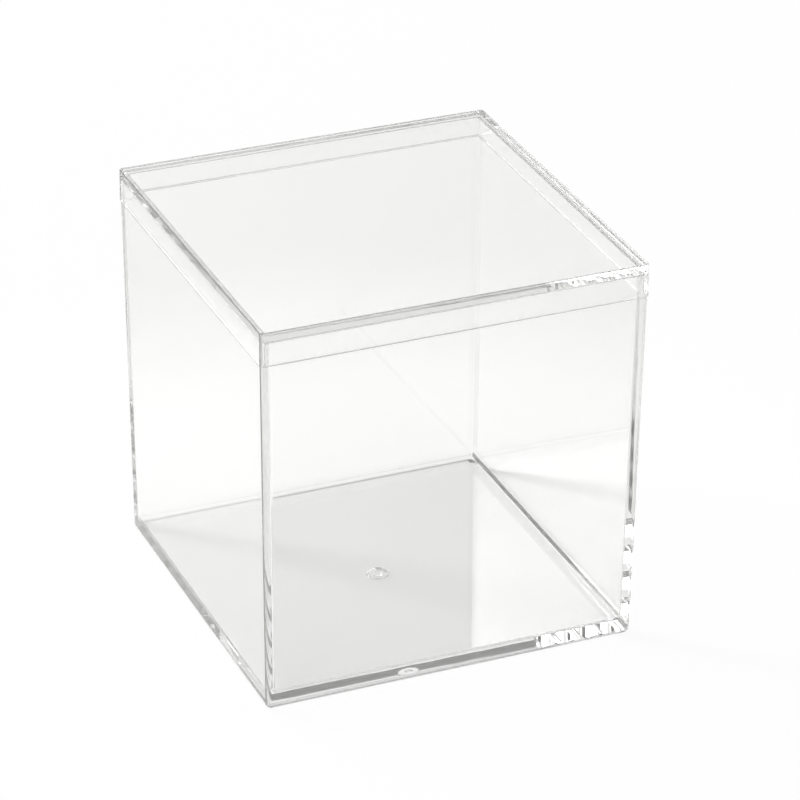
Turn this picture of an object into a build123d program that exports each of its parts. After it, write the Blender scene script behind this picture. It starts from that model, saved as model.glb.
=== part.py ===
from build123d import *
import math
import os

# Clear moulded box with a lift-off lid, in millimetres, +Z up.
# The origin is the middle of the base, on the surface that the box stands on.

# Overall sizes
lid_width = 85.0  # outside, across the skirt of the lid
overall_height = 88.0  # table to the top of the lid, with the lid on

# Box
lid_overhang = 0.15  # how far the skirt of the lid stands out from the walls, on each side
wall_draft = 0.6  # degrees, the walls lean outwards from the base to the shoulder
wall = 1.8
floor_thickness = 3.35
under_radius = 2.0  # outside, where the walls turn under
box_corner_radius = 1.1  # outside, the upright corners
floor_fillet = 1.25  # inside, round the floor
cavity_corner_radius = 0.65  # inside, the upright corners
shoulder_edge_radius = 0.2
rim_edge_radius = 0.2

# Lid
lid_plate = 2.3
skirt_depth = 7.3  # top of the lid to the lower edge of the skirt
skirt_wall = 0.95
lid_draft = 0.5  # degrees, on both sides of the skirt and on the outside of the rim
lid_corner_radius = 0.9
lid_top_edge_radius = 0.4
lid_recess_corner_radius = 0.45
lid_recess_fillet = 0.3
skirt_edge_radius = 0.2

# Fit of the lid on the box
fit_clearance = 0.15  # between rim and skirt, on each side
seat_gap = 0.1  # between the shoulder and the lower edge of the skirt
rim_top_gap = 0.3  # between the top of the rim and the underside of the lid

# Gate mark, in the middle of the underside
gate_well_diameter = 4.6
gate_well_depth = 0.8
gate_well_fillet = 0.25
gate_nub_diameter = 1.8
gate_nub_height = 0.4

cut_overrun = 1.0  # how far a cut runs past the open side that it leaves through

# Levels
skirt_bottom = overall_height - skirt_depth
shoulder = skirt_bottom - seat_gap
lid_underside = overall_height - lid_plate
rim_top = lid_underside - rim_top_gap

# Box widths, across the flat walls where they would meet the table and at the top of the floor
wall_slope = math.tan(math.radians(wall_draft))
base_width = lid_width - 2 * lid_overhang - 2 * wall_slope * shoulder
cavity_base_width = base_width + 2 * wall_slope * floor_thickness - 2 * wall

# The rim follows the inside of the skirt, at the fit clearance all round
lid_recess_width = lid_width - 2 * skirt_wall
rim_width = lid_recess_width - 2 * fit_clearance
rim_corner_radius = lid_recess_corner_radius - fit_clearance


def lower_edges(block):
    """The lower outline of a drafted block."""
    return block.group_by(Axis.Z)[0]


def upright_edges(block):
    """The four corner edges of a drafted block, just under its upper outline."""
    return block.group_by(Axis.Z)[-2]


# Box: one moulding with drafted walls, a floor and a rebated rim for the lid
with BuildPart() as box_body:
    with BuildSketch(Plane.XY):
        Rectangle(base_width, base_width)
    extrude(amount=shoulder, taper=-wall_draft)
    fillet(lower_edges(box_body.edges()), radius=under_radius)
    fillet(upright_edges(box_body.edges()), radius=box_corner_radius)
    fillet(box_body.faces().sort_by(Axis.Z)[-1].edges(), radius=shoulder_edge_radius)

    # Rim that goes up inside the skirt of the lid
    with BuildSketch(Plane.XY.offset(shoulder)):
        Rectangle(rim_width, rim_width)
    extrude(amount=rim_top - shoulder, taper=lid_draft)
    fillet(upright_edges(box_body.edges(Select.LAST)), radius=rim_corner_radius)

    # Inside, open at the top
    with BuildPart(mode=Mode.SUBTRACT) as cavity:
        with BuildSketch(Plane.XY.offset(floor_thickness)):
            Rectangle(cavity_base_width, cavity_base_width)
        extrude(amount=rim_top - floor_thickness + cut_overrun, taper=-wall_draft)
        fillet(lower_edges(cavity.edges()), radius=floor_fillet)
        fillet(upright_edges(cavity.edges()), radius=cavity_corner_radius)
    fillet(box_body.faces().sort_by(Axis.Z)[-1].edges(), radius=rim_edge_radius)

    # Gate mark: a shallow well, with the sheared nub standing in it clear of the table
    with BuildSketch(Plane.XY):
        Circle(gate_well_diameter / 2)
    extrude(amount=gate_well_depth, mode=Mode.SUBTRACT)
    fillet(box_body.edges(Select.LAST).filter_by(GeomType.CIRCLE), radius=gate_well_fillet)
    with BuildSketch(Plane.XY.offset(gate_well_depth)):
        Circle(gate_nub_diameter / 2)
    extrude(amount=-gate_nub_height)
box_body.part.label = "box_body"

# Lid: one moulding, a flat plate with a skirt that drops over the rim
with BuildPart() as lid:
    with BuildSketch(Plane.XY.offset(skirt_bottom)):
        Rectangle(lid_width, lid_width)
    extrude(amount=skirt_depth, taper=lid_draft)
    fillet(upright_edges(lid.edges(Select.LAST)), radius=lid_corner_radius)
    fillet(lid.faces().sort_by(Axis.Z)[-1].edges(), radius=lid_top_edge_radius)
    fillet(lid.faces().sort_by(Axis.Z)[0].edges(), radius=skirt_edge_radius)

    # Recess that takes the rim of the box
    with BuildSketch(Plane.XY.offset(skirt_bottom)):
        Rectangle(lid_recess_width, lid_recess_width)
    extrude(amount=skirt_depth - lid_plate, taper=lid_draft, mode=Mode.SUBTRACT)
    fillet(upright_edges(lid.edges(Select.LAST)), radius=lid_recess_corner_radius)
    underside = lid.faces().filter_by(Axis.Z).group_by(Axis.Z)[1]
    fillet(underside.edges(), radius=lid_recess_fillet)
lid.part.label = "lid"

os.makedirs("parts", exist_ok=True)
export_step(box_body.part, "parts/box_body.step")
export_step(lid.part, "parts/lid.step")
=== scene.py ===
import math

import bmesh
import bpy
from mathutils import Matrix, Vector


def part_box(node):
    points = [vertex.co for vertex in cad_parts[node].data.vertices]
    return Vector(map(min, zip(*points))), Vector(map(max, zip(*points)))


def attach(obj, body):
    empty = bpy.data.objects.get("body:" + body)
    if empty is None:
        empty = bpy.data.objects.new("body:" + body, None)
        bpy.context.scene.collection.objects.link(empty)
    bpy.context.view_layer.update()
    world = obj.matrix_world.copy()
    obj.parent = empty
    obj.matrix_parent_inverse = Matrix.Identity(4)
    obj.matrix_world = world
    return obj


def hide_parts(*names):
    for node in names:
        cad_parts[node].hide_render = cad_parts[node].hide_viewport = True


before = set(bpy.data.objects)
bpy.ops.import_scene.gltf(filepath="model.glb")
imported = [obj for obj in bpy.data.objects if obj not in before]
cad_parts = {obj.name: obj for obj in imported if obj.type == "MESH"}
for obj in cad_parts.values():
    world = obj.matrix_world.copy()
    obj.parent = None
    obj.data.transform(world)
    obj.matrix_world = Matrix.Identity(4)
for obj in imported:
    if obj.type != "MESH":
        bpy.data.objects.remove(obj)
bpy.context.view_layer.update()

# Box body
# One injection moulding in clear plastic: a floor, and four walls that lean out so that it leaves the mould.
# Its rim is set in for the lid to drop over, and the gate was sheared off in a shallow well under the floor.
mm = 0.001
wall = 1.8 * mm
wall_lean = math.radians(0.6)
shoulder_height = 80.6 * mm
shoulder_half = 42.35 * mm
shoulder_rounding = 0.2 * mm
box_corner = 1.1 * mm
under_radius = 2.0 * mm
rim_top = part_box("box_body")[1].z
rim_half = 41.4 * mm
rim_lean = math.radians(0.5)
rim_corner = 0.3 * mm
rim_rounding = 0.2 * mm
floor_top = 3.35 * mm
floor_fillet = 1.25 * mm
inside_corner = 0.65 * mm
well_half = 2.3 * mm
well_depth = 0.8 * mm
well_rounding = 0.25 * mm
nub_half = 0.9 * mm
nub_bottom = 0.4 * mm

corner_steps = 12
sharpest_corner = 0.01 * mm
least_spread = 0.001
weld_distance = 0.0005 * mm
crease_angle = math.radians(35)


def ring(half, height, corner):
    """A level square outline with rounded corners round the upright axis, a circle if corner is half."""
    corner = max(min(corner, half), sharpest_corner)
    points = []
    for quarter in range(4):
        middle = Matrix.Rotation(quarter * math.pi / 2, 2) @ Vector((half - corner, half - corner))
        for step in range(corner_steps):
            turn = (quarter + step / (corner_steps - 1)) * math.pi / 2
            points.append((middle.x + corner * math.cos(turn), middle.y + corner * math.sin(turn), height))
    return points


def outer_rounding(middle, height, radius, start, end, corner, steps=6):
    """Rings round an outside edge that is rounded less than the corners. Middle and height give the centre of
    the rounding, start and end are degrees up from level, and corner is the corner's radius at the centre."""
    rings = []
    for step in range(steps + 1):
        turn = math.radians(start + (end - start) * step / steps)
        reach = radius * math.cos(turn)
        rings.append(ring(middle + reach, height + radius * math.sin(turn), corner + reach))
    return rings


def foot_rounding(line, radius, corner, lean, level, steps):
    """Rings from the flat at this level out and up to a leaning wall, where the rounding between flat and
    wall is larger than the upright corners, so that each corner runs on down along the mitre."""
    middle = line + radius * math.tan(lean) - radius / math.cos(lean)
    rings = []
    for step in range(steps + 1):
        turn = -math.pi / 2 + (math.pi / 2 - lean) * step / steps
        reach = middle + (radius - corner) * math.cos(turn)
        height = level + radius + (radius - corner) * math.sin(turn)
        east = Vector((math.cos(turn), 0, math.sin(turn)))
        north = Vector((0, math.cos(turn), math.sin(turn)))
        spread = east.angle(north, 0.0)
        points = []
        for quarter in range(4):
            spin = Matrix.Rotation(quarter * math.pi / 2, 3, "Z")
            for stop in range(corner_steps):
                share = stop / (corner_steps - 1)
                facing = east
                if spread > least_spread:
                    facing = east * math.sin((1 - share) * spread) + north * math.sin(share * spread)
                    facing /= math.sin(spread)
                points.append(tuple(spin @ (Vector((reach, reach, height)) + corner * facing)))
        rings.append(points)
    return rings


def moulding(name, rings):
    """A closed solid from its rings, in order, with a flat face over the first and the last of them."""
    shape = bmesh.new()
    rows = [[shape.verts.new(point) for point in outline] for outline in rings]
    for lower, upper in zip(rows, rows[1:]):
        for here in range(len(lower)):
            after = (here + 1) % len(lower)
            shape.faces.new((lower[here], lower[after], upper[after], upper[here]))
    shape.faces.new(reversed(rows[0]))
    shape.faces.new(rows[-1])
    bmesh.ops.remove_doubles(shape, verts=shape.verts, dist=weld_distance)
    bmesh.ops.recalc_face_normals(shape, faces=shape.faces)
    for face in shape.faces:
        face.smooth = True
    for edge in shape.edges:
        edge.smooth = edge.calc_face_angle(0.0) < crease_angle
    mesh = bpy.data.meshes.new(name)
    shape.to_mesh(mesh)
    shape.free()
    piece = bpy.data.objects.new(name, mesh)
    bpy.context.scene.collection.objects.link(piece)
    flat_walls = piece.modifiers.new("flat_walls", "WEIGHTED_NORMAL")
    flat_walls.keep_sharp = True
    flat_walls.weight = 100
    return piece


# The sheared nub, the well round it, and the well's rounded mouth
box_rings = [ring(nub_half, nub_bottom, nub_half)]
box_rings.append(ring(nub_half, well_depth, nub_half))
box_rings.append(ring(well_half, well_depth, well_half))
mouth_steps = 5
for step in range(mouth_steps + 1):
    turn = math.pi / 2 * step / mouth_steps
    reach = well_half + well_rounding * (1 - math.cos(turn))
    box_rings.append(ring(reach, well_rounding * (1 - math.sin(turn)), reach))

# Outside: the underside, the rounding that it stands on, the walls and the shoulder
base_half = shoulder_half - shoulder_height * math.tan(wall_lean)
box_rings += foot_rounding(base_half, under_radius, box_corner, wall_lean, 0, steps=14)
box_rings += outer_rounding(shoulder_half - shoulder_rounding, shoulder_height - shoulder_rounding,
                            shoulder_rounding, -math.degrees(wall_lean), 90, box_corner - shoulder_rounding)

# The rim, over its top and down into the box, and the inside down to the floor
rim_top_half = rim_half - (rim_top - shoulder_height) * math.tan(rim_lean)
box_rings.append(ring(rim_half, shoulder_height, rim_corner))
box_rings += outer_rounding(rim_top_half - rim_rounding, rim_top - rim_rounding, rim_rounding, 0, 90,
                            rim_corner - rim_rounding, steps=4)
mouth_half = base_half - wall + rim_top * math.tan(wall_lean)
inner_steps = 4
for step in range(inner_steps + 1):
    turn = math.pi / 2 * step / inner_steps
    reach = rim_rounding * (1 - math.sin(turn))
    box_rings.append(ring(mouth_half + reach, rim_top - rim_rounding * (1 - math.cos(turn)),
                          inside_corner + reach))
inner_line = base_half - wall + floor_top * math.tan(wall_lean)
box_rings += reversed(foot_rounding(inner_line, floor_fillet, inside_corner, wall_lean, floor_top, steps=10))
box_body = moulding("box_moulding", box_rings)

# The plastic itself: flow marks, polish and tint
refraction = 1.53
flow_mark_scale = 70
flow_mark_detail = 1.5
flow_mark_height = 0.008 * mm
polish_scale = 900
polish_detail = 3
roughest = 0.012
tint_colour = (0.3, 0.31, 0.28)
tint_density = 2.2

# A lamp's light isn't bent by the plastic here. It comes straight through, in these shares from face on to
# edge on, and the uprights and the foot hold some back. All of it is set for the shadows of one photograph,
# and for that reason alone the right uprights hold back more than the left ones.
let_through = ((0, 0.905), (0.38, 0.9), (0.43, 0.975), (0.55, 0.965),
               (0.72, 0.86), (0.86, 0.66), (0.95, 0.35), (1, 0))
upright_line = 38.8 * mm
left_upright_hold = 0.3
right_upright_hold = 0.95
foot_line = 39.7 * mm
foot_height = 2.0 * mm
foot_slant = (0.42, 0.7)
foot_hold = 0.97


def maths(tree, operation, first, second=None):
    """One sum in a material, of numbers or of what other nodes give."""
    node = tree.nodes.new("ShaderNodeMath")
    node.operation = operation
    for socket, value in zip(node.inputs, (first, second)):
        if isinstance(value, bpy.types.NodeSocket):
            tree.links.new(value, socket)
        elif value is not None:
            socket.default_value = value
    return node.outputs[0]


def span(tree, value, low, high, at_low, at_high, kind="LINEAR"):
    """A value that goes from at_low to at_high while the given one goes from low to high."""
    node = tree.nodes.new("ShaderNodeMapRange")
    node.interpolation_type = kind
    tree.links.new(value, node.inputs["Value"])
    node.inputs["From Min"].default_value = low
    node.inputs["From Max"].default_value = high
    for socket, end in ((node.inputs["To Min"], at_low), (node.inputs["To Max"], at_high)):
        if isinstance(end, bpy.types.NodeSocket):
            tree.links.new(end, socket)
        else:
            socket.default_value = end
    return node.outputs["Result"]


def shades(tree, value, stops):
    """A grey that follows the value through these stops, each a place from 0 to 1 and a level."""
    node = tree.nodes.new("ShaderNodeValToRGB")
    stripes = node.color_ramp.elements
    while len(stripes) < len(stops):
        stripes.new(0.5)
    for stripe, (position, level) in zip(stripes, stops):
        stripe.position = position
        stripe.color = (level, level, level, 1)
    tree.links.new(value, node.inputs[0])
    return node.outputs[0]


def noise(tree, place, scale, detail):
    """Soft seedless noise over the piece."""
    node = tree.nodes.new("ShaderNodeTexNoise")
    node.inputs["Scale"].default_value = scale
    node.inputs["Detail"].default_value = detail
    tree.links.new(place, node.inputs["Vector"])
    return node.outputs["Fac"]


def clear_plastic(name):
    """Clear moulded plastic, glossy and faintly wavy where it flowed. A lamp's light comes straight through
    it, less of it at a slant and at the foot and the uprights."""
    material = bpy.data.materials.new(name)
    material.use_nodes = True
    tree = material.node_tree
    tree.nodes.clear()
    place = tree.nodes.new("ShaderNodeTexCoord").outputs["Object"]

    waves = tree.nodes.new("ShaderNodeBump")
    waves.inputs["Strength"].default_value = 1
    waves.inputs["Distance"].default_value = flow_mark_height
    tree.links.new(noise(tree, place, flow_mark_scale, flow_mark_detail), waves.inputs["Height"])
    plastic = tree.nodes.new("ShaderNodeBsdfPrincipled")
    plastic.inputs["Base Color"].default_value = (1, 1, 1, 1)
    plastic.inputs["Transmission Weight"].default_value = 1
    plastic.inputs["IOR"].default_value = refraction
    polish = span(tree, noise(tree, place, polish_scale, polish_detail), 0, 1, 0, roughest)
    tree.links.new(polish, plastic.inputs["Roughness"])
    tree.links.new(waves.outputs["Normal"], plastic.inputs["Normal"])

    slant = tree.nodes.new("ShaderNodeLayerWeight")
    slant.inputs["Blend"].default_value = 0.5
    facing = slant.outputs["Facing"]
    passing = shades(tree, facing, let_through)
    apart = tree.nodes.new("ShaderNodeSeparateXYZ")
    tree.links.new(place, apart.inputs[0])
    sideways = maths(tree, "ABSOLUTE", apart.outputs["X"])
    endways = maths(tree, "ABSOLUTE", apart.outputs["Y"])
    nearest_middle = maths(tree, "MINIMUM", sideways, endways)
    furthest_out = maths(tree, "MAXIMUM", sideways, endways)
    upright_hold = span(tree, apart.outputs["X"], -upright_line, upright_line,
                        left_upright_hold, right_upright_hold)
    upright = maths(tree, "MULTIPLY", maths(tree, "GREATER_THAN", nearest_middle, upright_line), upright_hold)
    at_foot = maths(tree, "MULTIPLY", maths(tree, "GREATER_THAN", furthest_out, foot_line),
                    maths(tree, "LESS_THAN", apart.outputs["Z"], foot_height))
    foot = maths(tree, "MULTIPLY", at_foot, span(tree, facing, *foot_slant, 0, foot_hold))
    kept = maths(tree, "SUBTRACT", 1, maths(tree, "MAXIMUM", upright, foot))
    thinned = tree.nodes.new("ShaderNodeVectorMath")
    thinned.operation = "SCALE"
    tree.links.new(passing, thinned.inputs[0])
    tree.links.new(kept, thinned.inputs["Scale"])
    clear = tree.nodes.new("ShaderNodeBsdfTransparent")
    tree.links.new(thinned.outputs[0], clear.inputs["Color"])

    path = tree.nodes.new("ShaderNodeLightPath")
    surface = plastic.outputs[0]
    for light_ray in ("Is Diffuse Ray", "Is Shadow Ray"):
        mix = tree.nodes.new("ShaderNodeMixShader")
        tree.links.new(path.outputs[light_ray], mix.inputs[0])
        tree.links.new(surface, mix.inputs[1])
        tree.links.new(clear.outputs[0], mix.inputs[2])
        surface = mix.outputs[0]
    tint = tree.nodes.new("ShaderNodeVolumeAbsorption")
    tint.inputs["Color"].default_value = (*tint_colour, 1)
    tint.inputs["Density"].default_value = tint_density
    output = tree.nodes.new("ShaderNodeOutputMaterial")
    tree.links.new(surface, output.inputs["Surface"])
    tree.links.new(tint.outputs[0], output.inputs["Volume"])
    return material


box_body.data.materials.append(clear_plastic("clear_box_plastic"))
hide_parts("box_body")
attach(box_body, "box")

# Lid
# One injection moulding in the same plastic: a flat plate, with a skirt all round that drops over the rim.
# It is held by its own weight and the close fit. The skirt stands a little proud of the walls.
skirt_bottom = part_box("lid")[0].z
lid_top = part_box("lid")[1].z
lid_half = 42.5 * mm
lid_plate = 2.3 * mm
lid_corner = 0.9 * mm
lid_top_rounding = 0.4 * mm
skirt_wall = 0.95 * mm
skirt_lean = math.radians(0.5)
skirt_rounding = 0.2 * mm
recess_corner = 0.45 * mm
recess_rounding = 0.3 * mm

# Outside: over the edge of the plate, down the skirt and round its lower edge
lid_top_half = lid_half - (lid_top - skirt_bottom) * math.tan(skirt_lean)
lid_rings = outer_rounding(lid_top_half - lid_top_rounding, lid_top - lid_top_rounding,
                           lid_top_rounding, 90, 0, lid_corner - lid_top_rounding)
skirt_middle = lid_half - skirt_rounding * (math.tan(skirt_lean) + 1 / math.cos(skirt_lean))
lid_rings += outer_rounding(skirt_middle, skirt_bottom + skirt_rounding, skirt_rounding,
                            math.degrees(skirt_lean), -90, lid_corner - skirt_rounding)

# Inside: up the skirt and round on to the underside of the plate
underside = lid_top - lid_plate
recess_half = lid_half - skirt_wall
recess_top_half = recess_half - (underside - skirt_bottom) * math.tan(skirt_lean)
lid_rings.append(ring(recess_half, skirt_bottom, recess_corner))
recess_steps = 6
for step in range(recess_steps + 1):
    turn = math.pi / 2 * step / recess_steps
    inset = recess_rounding * (1 - math.cos(turn))
    lid_rings.append(ring(recess_top_half - inset, underside - recess_rounding * (1 - math.sin(turn)),
                          recess_corner - inset))
lid = moulding("lid_moulding", lid_rings)
lid.data.materials.append(clear_plastic("clear_lid_plastic"))
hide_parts("lid")
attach(lid, "lid")

# Table
# A plain pale table, not part of the object. What looks straight at it sees it almost white, and what looks
# through the plastic sees it partly so, with the shadow of the box and a painted pool of light round it.
table_size = 12
table_gap = 0.1 * mm
table_colour = (0.9, 0.9, 0.89)
white_seen_directly = 0.95
white_seen_through = 0.1
# Painted pool of light: the table's colour is full out to the inner distance and fades to the edge level at
# the outer one
painted_pool_inner = 85 * mm
painted_pool_outer = 175 * mm
painted_pool_edge_level = 0.83

bpy.ops.mesh.primitive_plane_add(size=table_size)
table = bpy.context.object
table.name = "table"
table.location.z = -table_gap
pale = bpy.data.materials.new("pale_table")
pale.use_nodes = True
tree = pale.node_tree
tree.nodes.clear()
matt = tree.nodes.new("ShaderNodeBsdfDiffuse")
path = tree.nodes.new("ShaderNodeLightPath")
camera_ray = path.outputs["Is Camera Ray"]
place = tree.nodes.new("ShaderNodeTexCoord").outputs["Object"]
distance = tree.nodes.new("ShaderNodeVectorMath")
distance.operation = "LENGTH"
tree.links.new(place, distance.inputs[0])
# Painted pool of light: dims the table's matt colour, and the glow that bent rays see, away from the box
painted_light_pool = span(tree, distance.outputs["Value"], painted_pool_inner, painted_pool_outer, 1, painted_pool_edge_level, "SMOOTHSTEP")
painted_pool_colour = tree.nodes.new("ShaderNodeVectorMath")
painted_pool_colour.operation = "SCALE"
painted_pool_colour.inputs[0].default_value = table_colour
tree.links.new(painted_light_pool, painted_pool_colour.inputs["Scale"])
tree.links.new(painted_pool_colour.outputs[0], matt.inputs["Color"])
glow = tree.nodes.new("ShaderNodeEmission")
glow.inputs["Strength"].default_value = 1
tree.links.new(maths(tree, "MAXIMUM", painted_light_pool, camera_ray), glow.inputs["Color"])
bent_ray = maths(tree, "MAXIMUM", path.outputs["Is Transmission Ray"], path.outputs["Is Glossy Ray"])
white_share = maths(tree, "MAXIMUM", maths(tree, "MULTIPLY", camera_ray, white_seen_directly),
                    maths(tree, "MULTIPLY", bent_ray, white_seen_through))
mix = tree.nodes.new("ShaderNodeMixShader")
tree.links.new(white_share, mix.inputs[0])
tree.links.new(matt.outputs[0], mix.inputs[1])
tree.links.new(glow.outputs[0], mix.inputs[2])
output = tree.nodes.new("ShaderNodeOutputMaterial")
tree.links.new(mix.outputs[0], output.inputs["Surface"])
table.data.materials.append(pale)

# Studio
# A pale room, brightest straight behind the box and at a white card on the right. It is darker in front,
# overhead and just above the table, which draws the edges of the plastic. Fitted to one photograph's light.
glow_direction = (-3, 38)
glow_behind = ((0, 0.15), (0.35, 0.2), (0.6, 0.36), (0.8, 0.72), (0.92, 1), (1, 1))
card_direction = (80, 33)
glow_of_card = ((0, 0.15), (0.35, 0.2), (0.6, 0.4), (0.8, 0.8), (1, 0.85))
white_ends = (0.05, 0.09)
dark_ends = (0.22, 0.34)
dark_above_table = 0.1
ceiling_starts = (0.6, 0.72)
ceiling_level = 0.3


def direction(azimuth, elevation):
    """A direction from the box, in degrees clockwise from the back and up from the table."""
    across, up = math.radians(azimuth), math.radians(elevation)
    return Vector((math.sin(across) * math.cos(up), math.cos(across) * math.cos(up), math.sin(up)))


def towards(tree, place, azimuth, elevation):
    """How nearly the ray points in this direction, 1 if exactly."""
    node = tree.nodes.new("ShaderNodeVectorMath")
    node.operation = "DOT_PRODUCT"
    node.inputs[1].default_value = direction(azimuth, elevation)
    tree.links.new(place, node.inputs[0])
    return node.outputs["Value"]


world = bpy.data.worlds.new("studio")
bpy.context.scene.world = world
world.use_nodes = True
tree = world.node_tree
tree.nodes.clear()
place = tree.nodes.new("ShaderNodeTexCoord").outputs["Generated"]
apart = tree.nodes.new("ShaderNodeSeparateXYZ")
tree.links.new(place, apart.inputs[0])
height = apart.outputs["Z"]
behind = shades(tree, towards(tree, place, *glow_direction), glow_behind)
card = shades(tree, towards(tree, place, *card_direction), glow_of_card)
room = maths(tree, "MAXIMUM", behind, card)
room = span(tree, height, *dark_ends, dark_above_table, room)
room = span(tree, height, *ceiling_starts, room, ceiling_level)
room = span(tree, height, *white_ends, 1, room)
path = tree.nodes.new("ShaderNodeLightPath")
backdrop = tree.nodes.new("ShaderNodeBackground")
tree.links.new(maths(tree, "MAXIMUM", room, path.outputs["Is Camera Ray"]), backdrop.inputs["Color"])
output = tree.nodes.new("ShaderNodeOutputWorld")
tree.links.new(backdrop.outputs[0], output.inputs["Surface"])

lamp_distance = 2.4
lamp_aim = Vector((0, 0, 40 * mm))


def lamp_at(name, azimuth, elevation, width, height, level):
    """A flat rectangular lamp that faces the box. Level is the brightness of its face."""
    light = bpy.data.lights.new(name, "AREA")
    light.shape = "RECTANGLE"
    light.size = width
    light.size_y = height
    light.energy = level * math.pi * width * height
    lamp = bpy.data.objects.new(name, light)
    bpy.context.scene.collection.objects.link(lamp)
    lamp.location = lamp_aim + direction(azimuth, elevation) * lamp_distance
    lamp.rotation_mode = "QUATERNION"
    lamp.rotation_quaternion = direction(azimuth, elevation).to_track_quat("Z", "Y")
    lamp.visible_camera = False
    return lamp


# The key lamp, which only lights: its face isn't mirrored in the plastic
key_direction = (-45.5, 40)
key_width = 0.42
key_level = 80
key = lamp_at("key_lamp", *key_direction, key_width, key_width, key_level)
key.visible_glossy = False
key.visible_transmission = False

# The large softbox, whose face fades out towards its edges
softbox_direction = (-28, 41)
softbox_width = 1.7
softbox_height = 1.6
softbox_level = 5.7
softbox_fade = (0.2, 0.5)
face_middle = 0.5
softbox = lamp_at("feathered_softbox", *softbox_direction, softbox_width, softbox_height, softbox_level)
softbox.data.use_nodes = True
tree = softbox.data.node_tree
tree.nodes.clear()
face = tree.nodes.new("ShaderNodeNewGeometry")
apart = tree.nodes.new("ShaderNodeSeparateXYZ")
tree.links.new(face.outputs["Parametric"], apart.inputs[0])
fades = []
for axis in ("X", "Y"):
    from_middle = maths(tree, "ABSOLUTE", maths(tree, "SUBTRACT", apart.outputs[axis], face_middle))
    fades.append(span(tree, from_middle, *softbox_fade, 1, 0, "SMOOTHSTEP"))
shine = tree.nodes.new("ShaderNodeEmission")
tree.links.new(maths(tree, "MULTIPLY", *fades), shine.inputs["Strength"])
output = tree.nodes.new("ShaderNodeOutputLight")
tree.links.new(shine.outputs[0], output.inputs[0])

# Camera
# Set where a fit to the photograph's edges puts it: a long lens, left of the front and above the box, turned
# very slightly about its own axis. Lengths are from the origin, along the camera's own axes, and the focal
# length is in pixels of the photograph.
photo_width = 800
photo_focal = 3996.7
sensor_width = 36
nearest_seen = 0.01
camera_azimuth = 180 + 22.930
camera_elevation = 27.769
aim_right = 5.169 * mm
aim_up = 39.350 * mm
aim_back = 872.993 * mm
roll = math.radians(0.459)

back = direction(camera_azimuth, camera_elevation)
level_right = Vector((0, 0, 1)).cross(back).normalized()
level_up = back.cross(level_right)
right = math.cos(roll) * level_right + math.sin(roll) * level_up
up = math.cos(roll) * level_up - math.sin(roll) * level_right
camera = bpy.data.objects.new("camera", bpy.data.cameras.new("camera"))
bpy.context.scene.collection.objects.link(camera)
camera.data.sensor_width = sensor_width
camera.data.lens = photo_focal / photo_width * sensor_width
camera.data.clip_start = nearest_seen
camera.matrix_world = Matrix((right, up, back)).transposed().to_4x4()
camera.location = aim_right * right + aim_up * up + aim_back * back

view = bpy.context.scene
view.camera = camera
view.view_settings.view_transform = "Standard"
view.cycles.max_bounces = 160
view.cycles.transmission_bounces = 64
view.cycles.glossy_bounces = 128
view.cycles.transparent_max_bounces = 32
